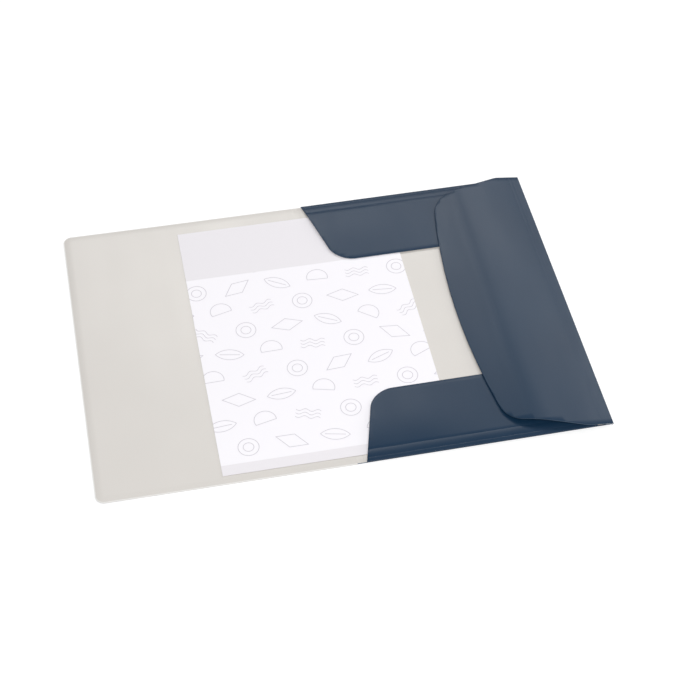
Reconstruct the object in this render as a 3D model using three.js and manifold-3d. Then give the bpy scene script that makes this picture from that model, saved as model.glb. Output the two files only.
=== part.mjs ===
// Three-flap A4 folder of scored plastic foil, lying open, with a loose sheet and an elastic strap.
// Millimetres, +Z up. X runs along the open width from the front cover to the side flap, Y from the
// near edge to the far edge. The origin is the middle of the open folder, at table height.
import * as THREE from "three";
import * as BufferGeometryUtils from "three/addons/utils/BufferGeometryUtils.js";
import Module from "manifold-3d";

const wasm = await Module();
wasm.setup();

// Foil and general fits
const foilThickness = 0.7;
const gap = 0.3; // between neighbouring pieces
const creaseGap = 0.3; // slot between two panels at a scored crease

// Panels, measured between creases and folds
const coverWidth = 222.5;
const spineWidth = 12;
const backWidth = 226.5;
const folderHeight = 321.6;
const coverCornerRadius = 8;

// End flaps, the two that fold in from the near and far edges
const nearFlapDepth = 77;
const farFlapDepth = 80;
const endFoldHeight = 2.0; // outside height of the bend
const firstScore = 4; // distance of each scored line from the fold
const secondScore = 12;
const firstScoreHeight = 2.5; // height of the outer face there
const secondScoreHeight = 3.0;
const endFlapStart = 2.5; // from the spine crease to the flap's near end
const endFlapSlant = 0.265; // sideways run for each millimetre of depth
const endFlapCornerRadius = 25;
const foldOverlap = 1; // how far the bend runs into the panel that it joins
const mitreReach = 14; // depth and width of the cut next to the side fold
const mitreRun = 11;
const mitreStart = 6;

// Side flap
const sideFoldHeight = 2.4;
const sideFlapWidth = 105.3; // from the fold line to the middle of the free edge
const archCrestHeight = 10; // outer face above the table
const archCrestReach = 62; // from the fold line to the crest
const archShoulderReach = 23; // where the ends begin to taper
const archShoulderHeight = 6.7;
const freeEdgeHeight = 3.55; // outer face at the middle of the free edge
const risePoint = [0.63, 0.73]; // shares of the run and the climb from the shoulder to the crest
const fallPoint = [0.27, 0.12]; // shares of the run and the drop from the crest to the free edge
const slopePoint = [0.58, 0.5];
const endTaper = 0.29; // inward run for each millimetre beyond the shoulder
const shoulderRadius = 12;
const sideCornerRadius = 24;
const freeEdgeBow = 13.4; // how far the free edge bows out beyond its unrounded corners

// Loose sheet
const sheetWidth = 210;
const sheetHeight = 297;
const sheetThickness = 0.3;
const sheetFromCoverEdge = 110.8;
const sheetFromNearEdge = 8.8;

// Elastic strap and its end clips
const strapWidth = 6;
const strapThickness = 0.7;
const strapFromFold = 22; // middle of the strap to the side fold
const strapEndInset = 12; // slit to the panel's end fold
const clipLength = 12.5;
const clipWidth = 3.2;
const clipThickness = 0.9;
const clipCornerRadius = 1.2;
const strapGrip = 0.6; // how far the strap's end reaches into the clip's slot
const planMargin = 1; // how far a cutting outline stands outside the foil that it cuts

// Fineness of the round stretches
const arcSteps = 12;
const bendSteps = 10; // round the bend of an end flap
const archSteps = 48; // along the side flap's arch
const bowSteps = 12; // along the side flap's free edge
const clipArcSteps = 6;

// Worked out from the values above
const coverCrease = coverWidth;
const backCrease = coverWidth + spineWidth;
const sideFold = backCrease + backWidth;
const openWidth = sideFold - creaseGap / 2;
const strapMiddle = sideFold - strapFromFold;
const strapNearEdge = strapMiddle - strapWidth / 2;
const lean = Math.atan((strapThickness + gap) / (strapNearEdge - backCrease));
const liftAt = (x) => (x - backCrease) * Math.tan(lean); // the back panel rests on the strap
const sheetUnderside = foilThickness + gap;

const foilOutside = new THREE.MeshStandardMaterial({ color: 0x46566a, roughness: 0.6, metalness: 0 });
const foilInside = new THREE.MeshStandardMaterial({ color: 0xdedad5, roughness: 0.5, metalness: 0 });
const paper = new THREE.MeshStandardMaterial({ color: 0xf4f3f7, roughness: 0.8, metalness: 0 });
const braid = new THREE.MeshStandardMaterial({ color: 0x2b3a4a, roughness: 0.9, metalness: 0 });
const clipPlastic = new THREE.MeshStandardMaterial({ color: 0x3a4a5c, roughness: 0.5, metalness: 0 });

// A closed outline through corners [x, y, radius], each rounded by a true arc
function roundedShape(corners) {
  const shape = new THREE.Shape();
  corners.forEach(([x, y, radius = 0], i) => {
    const here = new THREE.Vector2(x, y);
    const before = corners[(i + corners.length - 1) % corners.length];
    const after = corners[(i + 1) % corners.length];
    const toBefore = new THREE.Vector2(before[0], before[1]).sub(here).normalize();
    const toAfter = new THREE.Vector2(after[0], after[1]).sub(here).normalize();
    const half = Math.acos(THREE.MathUtils.clamp(toBefore.dot(toAfter), -1, 1)) / 2;
    const reach = radius / Math.tan(half);
    const start = here.clone().addScaledVector(toBefore, reach);
    if (i === 0) shape.moveTo(start.x, start.y);
    else shape.lineTo(start.x, start.y);
    if (radius > 0) {
      const inward = toBefore.clone().add(toAfter).normalize();
      const centre = here.clone().addScaledVector(inward, radius / Math.sin(half));
      const end = here.clone().addScaledVector(toAfter, reach);
      const clockwise = toBefore.cross(toAfter) > 0;
      const from = Math.atan2(start.y - centre.y, start.x - centre.x);
      const to = Math.atan2(end.y - centre.y, end.x - centre.x);
      shape.absarc(centre.x, centre.y, radius, from, to, clockwise);
    }
  });
  shape.closePath();
  return shape;
}

// A closed section of foil: the outer face's points, and the same line set in by the thickness
function foilSection(outer, thickness) {
  const inner = outer.map((point, i) => {
    const before = outer[Math.max(i - 1, 0)];
    const after = outer[Math.min(i + 1, outer.length - 1)];
    const a = i > 0 ? point.clone().sub(before).normalize() : after.clone().sub(point).normalize();
    const b = i < outer.length - 1 ? after.clone().sub(point).normalize() : a;
    const normal = new THREE.Vector2(-(a.y + b.y), a.x + b.x).normalize();
    const stretch = 1 / Math.max(normal.dot(new THREE.Vector2(-a.y, a.x)), 0.3);
    return point.clone().addScaledVector(normal, thickness * stretch);
  });
  return new THREE.Shape([...outer, ...inner.reverse()]);
}

function rectangle(middleX, middleY, width, height) {
  const x = width / 2;
  const y = height / 2;
  const corners = [[-x, -y], [x, -y], [x, y], [-x, y]];
  return new THREE.Shape(corners.map(([dx, dy]) => new THREE.Vector2(middleX + dx, middleY + dy)));
}

function plate(shape, thickness, steps = arcSteps) {
  const options = { depth: thickness, bevelEnabled: false, curveSegments: steps };
  return new THREE.ExtrudeGeometry(shape, options);
}

// Turns a section drawn in X and Z, extruded by length, so that it runs along +Y from y = 0
function runAlongY(section, length) {
  const geometry = plate(section, length);
  geometry.rotateX(Math.PI / 2);
  geometry.translate(0, length, 0);
  return geometry;
}

// Turns a section drawn in Y and Z, extruded by length, so that it runs along +X from x = 0
function runAlongX(section, length) {
  const geometry = plate(section, length);
  geometry.rotateY(Math.PI / 2);
  geometry.rotateX(Math.PI / 2);
  return geometry;
}

function toSolid(geometry) {
  const bare = geometry.clone();
  bare.deleteAttribute("normal");
  bare.deleteAttribute("uv");
  const merged = BufferGeometryUtils.mergeVertices(bare, 1e-4);
  const vertProperties = new Float32Array(merged.attributes.position.array);
  const triVerts = new Uint32Array(merged.index.array);
  return new wasm.Manifold(new wasm.Mesh({ numProp: 3, vertProperties, triVerts }));
}

function toGeometry(solid) {
  const mesh = solid.getMesh();
  const geometry = new THREE.BufferGeometry();
  geometry.setAttribute("position", new THREE.BufferAttribute(new Float32Array(mesh.vertProperties), 3));
  geometry.setIndex(new THREE.BufferAttribute(new Uint32Array(mesh.triVerts), 1));
  geometry.computeVertexNormals();
  return geometry;
}

function named(name, geometry, material) {
  const mesh = new THREE.Mesh(geometry, material);
  mesh.name = name;
  return mesh;
}

// The bend, the two scored lines and the free edge of an end flap, in depth from the fold and height.
// The outer face is listed from the panel's underside round the bend to the free edge.
function endFlapSection(depth) {
  const radius = endFoldHeight / 2;
  const outer = [new THREE.Vector2(radius + foldOverlap, 0)];
  for (let i = 0; i <= bendSteps; i += 1) {
    const angle = -Math.PI / 2 - (Math.PI * i) / bendSteps;
    outer.push(new THREE.Vector2(radius + radius * Math.cos(angle), radius + radius * Math.sin(angle)));
  }
  const freeEdgeTop = sheetUnderside + sheetThickness + gap + foilThickness;
  outer.push(new THREE.Vector2(firstScore, firstScoreHeight));
  outer.push(new THREE.Vector2(secondScore, secondScoreHeight));
  outer.push(new THREE.Vector2(depth, freeEdgeTop));
  return foilSection(outer.reverse(), foilThickness);
}

// Plan of an end flap, x from the spine crease and y from its fold
function endFlapPlan(depth) {
  const end = backWidth - mitreStart;
  const innerEnd = end - mitreRun;
  const slantEnd = innerEnd - endFlapSlant * (depth - mitreReach);
  return roundedShape([
    [endFlapStart, -planMargin],
    [end, -planMargin],
    [end, 0],
    [innerEnd, mitreReach],
    [slantEnd, depth, endFlapCornerRadius],
    [endFlapStart + endFlapSlant * depth, depth, endFlapCornerRadius],
    [endFlapStart, 0],
  ]);
}

function endFlap(depth) {
  const strip = toSolid(runAlongX(endFlapSection(depth), backWidth));
  const plan = plate(endFlapPlan(depth), folderHeight);
  plan.translate(0, 0, -folderHeight / 2);
  return strip.intersect(toSolid(plan));
}

// Back panel with the flaps folded in from its two ends, x from the spine crease, y from the near fold
function backWithEndFlaps() {
  const bend = endFoldHeight / 2;
  const slitWidth = strapWidth + 2 * gap;
  const slitHeight = strapThickness + 2 * gap;
  const panel = rectangle(backWidth / 2, folderHeight / 2, backWidth - creaseGap, folderHeight);
  for (const y of [strapEndInset, folderHeight - strapEndInset]) {
    panel.holes.push(rectangle(strapMiddle - backCrease, y, slitWidth, slitHeight));
  }
  const flat = toSolid(plate(panel, foilThickness));
  const foldStart = endFlapStart;
  const foldEnd = backWidth - mitreStart;
  const clearEnds = new THREE.BoxGeometry(foldEnd - foldStart, bend * 2, endFoldHeight * 2);
  clearEnds.translate((foldStart + foldEnd) / 2, 0, 0);
  const nearCut = toSolid(clearEnds);
  const farCut = nearCut.translate([0, folderHeight, 0]);
  const near = endFlap(nearFlapDepth);
  const far = endFlap(farFlapDepth).mirror([0, 1, 0]).translate([0, folderHeight, 0]);
  return toGeometry(flat.subtract(nearCut).subtract(farCut).add(near).add(far));
}

// The side flap's arch, in distance from the fold line and height above the table, outer face
function archLine() {
  const foldTop = liftAt(sideFold) + sideFoldHeight;
  const crest = archCrestReach;
  const edge = sideFlapWidth;
  const between = ([run, rise], x0, z0, x1, z1) =>
    new THREE.Vector2(x0 + (x1 - x0) * run, z0 + (z1 - z0) * rise);
  const curve = new THREE.SplineCurve([
    new THREE.Vector2(creaseGap / 2, foldTop),
    new THREE.Vector2(archShoulderReach, archShoulderHeight),
    between(risePoint, archShoulderReach, archShoulderHeight, crest, archCrestHeight),
    new THREE.Vector2(crest, archCrestHeight),
    between(fallPoint, crest, archCrestHeight, edge, freeEdgeHeight),
    between(slopePoint, crest, archCrestHeight, edge, freeEdgeHeight),
    new THREE.Vector2(edge, freeEdgeHeight),
  ]);
  return curve.getPoints(archSteps);
}

// Plan of the side flap, x as distance from the fold line, y from the near end
function sideFlapPlan() {
  const cornerReach = sideFlapWidth - freeEdgeBow;
  const cornerInset = endTaper * (cornerReach - archShoulderReach);
  const halfChord = folderHeight / 2 - cornerInset;
  const bowRadius = (halfChord * halfChord + freeEdgeBow * freeEdgeBow) / (2 * freeEdgeBow);
  const free = [];
  for (let i = 1; i < bowSteps; i += 1) {
    const y = -halfChord + (2 * halfChord * i) / bowSteps;
    const x = sideFlapWidth - bowRadius + Math.sqrt(bowRadius * bowRadius - y * y);
    free.push([x, folderHeight / 2 + y]);
  }
  return roundedShape([
    [-planMargin, 0],
    [archShoulderReach, 0, shoulderRadius],
    [cornerReach, cornerInset, sideCornerRadius],
    ...free,
    [cornerReach, folderHeight - cornerInset, sideCornerRadius],
    [archShoulderReach, folderHeight, shoulderRadius],
    [-planMargin, folderHeight],
  ]);
}

function sideFlap() {
  const strip = runAlongY(foilSection(archLine(), -foilThickness), folderHeight);
  const plan = plate(sideFlapPlan(), 4 * archCrestHeight);
  plan.translate(0, 0, -archCrestHeight);
  const flap = toSolid(strip).intersect(toSolid(plan));
  return toGeometry(flap.mirror([1, 0, 0]).translate([sideFold, 0, 0]));
}

function frontCover() {
  const edge = coverCrease - creaseGap / 2;
  const outline = roundedShape([
    [0, 0, coverCornerRadius],
    [edge, 0],
    [edge, folderHeight],
    [0, folderHeight, coverCornerRadius],
  ]);
  return plate(outline, foilThickness);
}

function spine() {
  const width = spineWidth - creaseGap;
  const panel = new THREE.BoxGeometry(width, folderHeight, foilThickness);
  panel.translate(coverCrease + spineWidth / 2, folderHeight / 2, foilThickness / 2);
  return panel;
}

// The sheet lies flat on the cover and spine, and follows the back panel's slight rise
function insertSheet() {
  const low = sheetUnderside;
  const right = sheetFromCoverEdge + sheetWidth;
  const rise = liftAt(right);
  const section = new THREE.Shape([
    new THREE.Vector2(sheetFromCoverEdge, low),
    new THREE.Vector2(backCrease, low),
    new THREE.Vector2(right, low + rise),
    new THREE.Vector2(right, low + rise + sheetThickness),
    new THREE.Vector2(backCrease, low + sheetThickness),
    new THREE.Vector2(sheetFromCoverEdge, low + sheetThickness),
  ]);
  const sheet = runAlongY(section, sheetHeight);
  sheet.translate(0, sheetFromNearEdge, 0);
  return sheet;
}

// A flat braid under the back panel, with both ends turned up through the slits
function elasticStrap() {
  const near = strapEndInset - strapThickness / 2;
  const far = folderHeight - near;
  const top = liftAt(strapMiddle) + foilThickness + gap + strapGrip;
  const section = new THREE.Shape([
    new THREE.Vector2(near, 0),
    new THREE.Vector2(far, 0),
    new THREE.Vector2(far, top),
    new THREE.Vector2(far - strapThickness, top),
    new THREE.Vector2(far - strapThickness, strapThickness),
    new THREE.Vector2(near + strapThickness, strapThickness),
    new THREE.Vector2(near + strapThickness, top),
    new THREE.Vector2(near, top),
  ]);
  const strap = runAlongX(section, strapWidth);
  strap.translate(strapNearEdge, 0, 0);
  return strap;
}

// A flat bar with a slot, wider than the slit, that holds the end of the strap
function elasticClip() {
  const x = clipLength / 2;
  const y = clipWidth / 2;
  const bar = roundedShape([
    [-x, -y, clipCornerRadius],
    [x, -y, clipCornerRadius],
    [x, y, clipCornerRadius],
    [-x, y, clipCornerRadius],
  ]);
  bar.holes.push(rectangle(0, 0, strapWidth + 2 * gap, strapThickness + 2 * gap));
  return plate(bar, clipThickness, clipArcSteps);
}

const folder = new THREE.Group();
folder.position.set(-openWidth / 2, -folderHeight / 2, 0);
folder.add(named("front_cover", frontCover(), foilInside));
folder.add(named("spine", spine(), foilInside));
folder.add(named("side_flap", sideFlap(), foilOutside));
folder.add(named("insert_sheet", insertSheet(), paper));
folder.add(named("elastic_strap", elasticStrap(), braid));

// Everything on the back panel leans with it, about the crease at the spine
const back = new THREE.Group();
back.position.set(backCrease, 0, 0);
back.rotation.y = -lean;
back.add(named("back_with_end_flaps", backWithEndFlaps(), foilOutside));
for (const [name, y] of [["near", strapEndInset], ["far", folderHeight - strapEndInset]]) {
  const clip = named(`elastic_clip_${name}`, elasticClip(), clipPlastic);
  clip.position.set(strapMiddle - backCrease, y, foilThickness + gap);
  back.add(clip);
}
folder.add(back);

export default folder;
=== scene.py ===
import bpy
import bmesh
import math
from mathutils import Matrix, Vector


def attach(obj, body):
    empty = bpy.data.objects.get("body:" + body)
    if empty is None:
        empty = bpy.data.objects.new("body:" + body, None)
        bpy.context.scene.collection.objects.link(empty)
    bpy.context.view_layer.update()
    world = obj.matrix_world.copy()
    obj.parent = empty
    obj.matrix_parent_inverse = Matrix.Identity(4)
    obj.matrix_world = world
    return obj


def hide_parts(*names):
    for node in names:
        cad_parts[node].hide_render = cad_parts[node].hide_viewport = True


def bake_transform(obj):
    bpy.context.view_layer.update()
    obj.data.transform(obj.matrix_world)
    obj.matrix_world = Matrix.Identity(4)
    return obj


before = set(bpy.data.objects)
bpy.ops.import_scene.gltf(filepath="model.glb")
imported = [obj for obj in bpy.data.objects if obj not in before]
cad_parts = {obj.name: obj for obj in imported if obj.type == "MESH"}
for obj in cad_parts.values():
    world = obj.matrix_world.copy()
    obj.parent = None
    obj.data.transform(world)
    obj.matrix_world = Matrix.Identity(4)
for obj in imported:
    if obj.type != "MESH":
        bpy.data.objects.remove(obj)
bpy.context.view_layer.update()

# Folder measures in millimetres: x from the cover's free edge, y from the near edge, z from the table.
# They are the ones in the CAD source, where the back panel leans up a little over the elastic strap.
folder = {
    "middleX": 230.425,
    "height": 321.6,
    "foil": 0.7,
    "coverCrease": 222.5,
    "spineSeam": 228.5,  # middle of the spine, where the two halves of the foil meet
    "backCrease": 234.5,
    "sideFold": 461.0,
    "lean": 0.0049628,  # rise of the back panel for each millimetre of width
    "cutBevel": 0.11,
    "coverCorner": 8.0,
    "creaseDepth": 0.12,
}
hair = 0.01  # a point this close to a line counts as on it


def toRow(x, y, z):
    return Vector(((x - folder["middleX"]) / 1000, (y - folder["height"] / 2) / 1000, z / 1000))


# Camera, solved from the straight edges of the folder
view = {
    "place": (-0.197523, -0.971187, 1.139604),
    "right": (0.98029, -0.19702, 0.01458),
    "down": (-0.14034, -0.74643, -0.65050),
    "ahead": (0.13905, 0.63563, -0.75937),
    "lens": 85.24,
    "sensor": 36,
}
bpy.ops.object.camera_add(location=view["place"])
camera = bpy.context.object
camera.name = "photoCamera"
sideways, up, back = Vector(view["right"]), -Vector(view["down"]), -Vector(view["ahead"])
turned = Matrix((sideways, up, back)).transposed().to_4x4()
camera.matrix_world = Matrix.Translation(view["place"]) @ turned
camera.data.lens = view["lens"]
camera.data.sensor_width = view["sensor"]
bpy.context.scene.camera = camera
bpy.context.scene.view_settings.view_transform = "Standard"
print("camera placed")


# sRGB hex to the linear values that the shaders use
def linearColour(hexCode):
    parts = [int(hexCode[i:i + 2], 16) / 255 for i in (1, 3, 5)]
    return [p / 12.92 if p <= 0.04045 else ((p + 0.055) / 1.055) ** 2.4 for p in parts] + [1.0]


# Adds one node with its settings, and for each input a fixed value or another node's output
def addNode(tree, kind, settings=None, inputs=None):
    made = tree.nodes.new(kind)
    for key, value in (settings or {}).items():
        setattr(made, key, value)
    for key, value in (inputs or {}).items():
        if isinstance(value, bpy.types.NodeSocket):
            tree.links.new(value, made.inputs[key])
        else:
            made.inputs[key].default_value = value
    return made


def newMaterial(name):
    material = bpy.data.materials.new(name)
    material.use_nodes = True
    material.node_tree.nodes.clear()
    return material, material.node_tree


def closeMaterial(tree, shader):
    addNode(tree, "ShaderNodeOutputMaterial", None, {"Surface": shader.outputs[0]})


# Polypropylene foil, extruded and pressed with a fine matt grain. The grain spreads a lamp into a broad
# soft sheen, and where the roll pressed harder the surface is a touch smoother. Sizes are in metres.
pressing = {
    "grainSize": 0.0009,  # real grain is 0.3 mm, drawn coarser so that it shows
    "grainHeight": 0.00004, "rollSize": 0.03, "rollStretch": 0.16, "cloudSize": 0.12,
    "roughSpread": 0.03, "ior": 1.49, "gloss": 0.35,
}


def foilMaterial(name, values):
    material, tree = newMaterial(name)
    place = addNode(tree, "ShaderNodeTexCoord")
    grain = addNode(tree, "ShaderNodeTexNoise", None, {
        "Vector": place.outputs["Object"], "Scale": 1 / pressing["grainSize"],
        "Detail": 2.0, "Roughness": 0.55})
    stretched = addNode(tree, "ShaderNodeMapping", None, {
        "Vector": place.outputs["Object"], "Scale": (1.0, pressing["rollStretch"], 1.0)})
    rolled = addNode(tree, "ShaderNodeTexNoise", None, {
        "Vector": stretched.outputs[0], "Scale": 1 / pressing["rollSize"],
        "Detail": 3.0, "Roughness": 0.5})
    cloudy = addNode(tree, "ShaderNodeTexNoise", None, {
        "Vector": place.outputs["Object"], "Scale": 1 / pressing["cloudSize"], "Detail": 2.0})
    tone = addNode(tree, "ShaderNodeMapRange", None, {
        "Value": cloudy.outputs["Fac"], "From Min": 0.3, "From Max": 0.7})
    colour = addNode(tree, "ShaderNodeMix", {"data_type": "RGBA"}, {
        0: tone.outputs[0], 6: linearColour(values["dark"]), 7: linearColour(values["light"])})
    speck = addNode(tree, "ShaderNodeMapRange", None, {
        "Value": grain.outputs["Fac"], "From Min": 0.25, "From Max": 0.75,
        "To Min": 1 - values["speck"], "To Max": 1 + values["speck"]})
    speckled = addNode(tree, "ShaderNodeVectorMath", {"operation": "SCALE"}, {
        0: colour.outputs[2], "Scale": speck.outputs[0]})
    gloss = addNode(tree, "ShaderNodeMapRange", None, {
        "Value": rolled.outputs["Fac"], "From Min": 0.3, "From Max": 0.7,
        "To Min": values["rough"] - pressing["roughSpread"],
        "To Max": values["rough"] + pressing["roughSpread"]})
    relief = addNode(tree, "ShaderNodeBump", None, {
        "Strength": values["relief"], "Distance": pressing["grainHeight"],
        "Height": grain.outputs["Fac"]})
    return material, tree, place, speckled, gloss, relief


blueFoil = {"dark": "#0f2c45", "light": "#133049", "speck": 0.05, "rough": 0.40, "relief": 0.35}
greyFoil = {
    "dark": "#d5d1cc", "light": "#d9d5d0", "speck": 0.012, "rough": 0.38, "relief": 0.3,
    "paintedEdgeLight": "#ecebe8",  # painted light: a pale rim painted along the edge, as of light coming through the foil
    "edgeLightWidth": 1.3, "edgeLightFade": 0.4,
}


def blueFoilMaterial():
    material, tree, _, colour, gloss, relief = foilMaterial("mattPressedBlueFoil", blueFoil)
    shader = addNode(tree, "ShaderNodeBsdfPrincipled", None, {
        "Base Color": colour.outputs[0], "Roughness": gloss.outputs[0], "IOR": pressing["ior"],
        "Specular IOR Level": pressing["gloss"], "Normal": relief.outputs[0]})
    closeMaterial(tree, shader)
    return material


# The foil's inside is a warm grey layer. Along the folder's cut edge a band of it is painted pale, a
# painted rim of light, as of light coming through the foil's edge.
def greyFoilMaterial():
    material, tree, place, colour, gloss, relief = foilMaterial("satinPressedGreyFoil", greyFoil)
    radius = folder["coverCorner"]
    halfX, halfY = folder["sideFold"] / 2 - radius, folder["height"] / 2 - radius
    centre = folder["sideFold"] / 2 - folder["middleX"]
    inMillimetres = addNode(tree, "ShaderNodeVectorMath", {"operation": "MULTIPLY_ADD"}, {
        0: place.outputs["Object"], 1: (1000, 1000, 0), 2: (-centre, 0, 0)})
    folded = addNode(tree, "ShaderNodeVectorMath", {"operation": "ABSOLUTE"}, {
        0: inMillimetres.outputs[0]})
    beyond = addNode(tree, "ShaderNodeVectorMath", {"operation": "SUBTRACT"}, {
        0: folded.outputs[0], 1: (halfX, halfY, 0)})
    corner = addNode(tree, "ShaderNodeVectorMath", {"operation": "MAXIMUM"}, {
        0: beyond.outputs[0], 1: (0, 0, 0)})
    reach = addNode(tree, "ShaderNodeVectorMath", {"operation": "LENGTH"}, {0: corner.outputs[0]})
    # painted light: the grey is painted paler within this band along the outline
    edgeLightMask = addNode(tree, "ShaderNodeMapRange", {"interpolation_type": "SMOOTHSTEP"}, {
        "Value": reach.outputs["Value"], "From Min": radius - greyFoil["edgeLightWidth"],
        "From Max": radius - greyFoil["edgeLightWidth"] * greyFoil["edgeLightFade"]})
    edgeLit = addNode(tree, "ShaderNodeMix", {"data_type": "RGBA"}, {
        0: edgeLightMask.outputs[0], 6: colour.outputs[0], 7: linearColour(greyFoil["paintedEdgeLight"])})
    shader = addNode(tree, "ShaderNodeBsdfPrincipled", None, {
        "Base Color": edgeLit.outputs[2], "Roughness": gloss.outputs[0], "IOR": pressing["ior"],
        "Specular IOR Level": pressing["gloss"], "Normal": relief.outputs[0]})
    closeMaterial(tree, shader)
    return material


# Die-cut edge of the foil: the blade leaves fine drag lines across it. On the cover the grey layer is
# drawn over the edge, and on the flaps the blue one is.
cutEdges = {
    "greyCutEdge": {"colour": "#dedbd7", "drag": "#cfccc8"},
    "blueCutEdge": {"colour": "#4d5f73", "drag": "#3d4f63"},
    "dragSize": 0.0006, "dragStretch": 0.1, "dragHeight": 0.00003, "relief": 0.3, "rough": 0.55,
}


def cutEdgeMaterial(name):
    material, tree = newMaterial(name)
    place = addNode(tree, "ShaderNodeTexCoord")
    flattened = addNode(tree, "ShaderNodeMapping", None, {
        "Vector": place.outputs["Object"], "Scale": (1.0, 1.0, cutEdges["dragStretch"])})
    lines = addNode(tree, "ShaderNodeTexNoise", None, {
        "Vector": flattened.outputs[0], "Scale": 1 / cutEdges["dragSize"], "Detail": 2.0})
    colour = addNode(tree, "ShaderNodeMix", {"data_type": "RGBA"}, {
        0: lines.outputs["Fac"], 6: linearColour(cutEdges[name]["drag"]),
        7: linearColour(cutEdges[name]["colour"])})
    relief = addNode(tree, "ShaderNodeBump", None, {
        "Strength": cutEdges["relief"], "Distance": cutEdges["dragHeight"],
        "Height": lines.outputs["Fac"]})
    shader = addNode(tree, "ShaderNodeBsdfPrincipled", None, {
        "Base Color": colour.outputs[2], "Roughness": cutEdges["rough"], "IOR": pressing["ior"],
        "Specular IOR Level": pressing["gloss"], "Normal": relief.outputs[0]})
    closeMaterial(tree, shader)
    return material


# Uncoated office paper with a pale printed design: fibres make it faintly mottled and quite dull.
# The design is rows of plain shapes in thin grey line, between a tinted head and foot.
paperPrint = {
    "paper": "#faf8fc", "fibre": "#f6f4f9", "tint": "#ebe8ec", "line": "#cfcbd3",
    "fibreSize": 0.0011, "fibreHeight": 0.00005, "relief": 0.15, "rough": 0.85, "ior": 1.47,
    "centre": (14.625, 3.5, 0.0),  # millimetres from the sheet's middle to the row's origin
    "headFrom": 85.1, "footTo": -137.5,
    "cellWidth": 39.0, "cellHeight": 27.0, "tilt": 0.65,
    "lineHalf": 0.24, "lineSoft": 0.2,
    "leafSink": 11.5, "leafRadius": 17.5, "veinHalf": 9.0,
    "ringsMiddle": 7.0, "ringsHalf": 2.3,
    "moonRadius": 10.0, "moonFlat": -2.5,
    "lozengeHeight": 7.5, "lozengeSlope": 0.5, "lozengeLine": 0.9,
    "waveTurn": 0.55, "waveHeight": 1.3, "waveSpacing": 2.0, "waveHalf": 11.0, "wavesHeight": 4.4,
}


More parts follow.
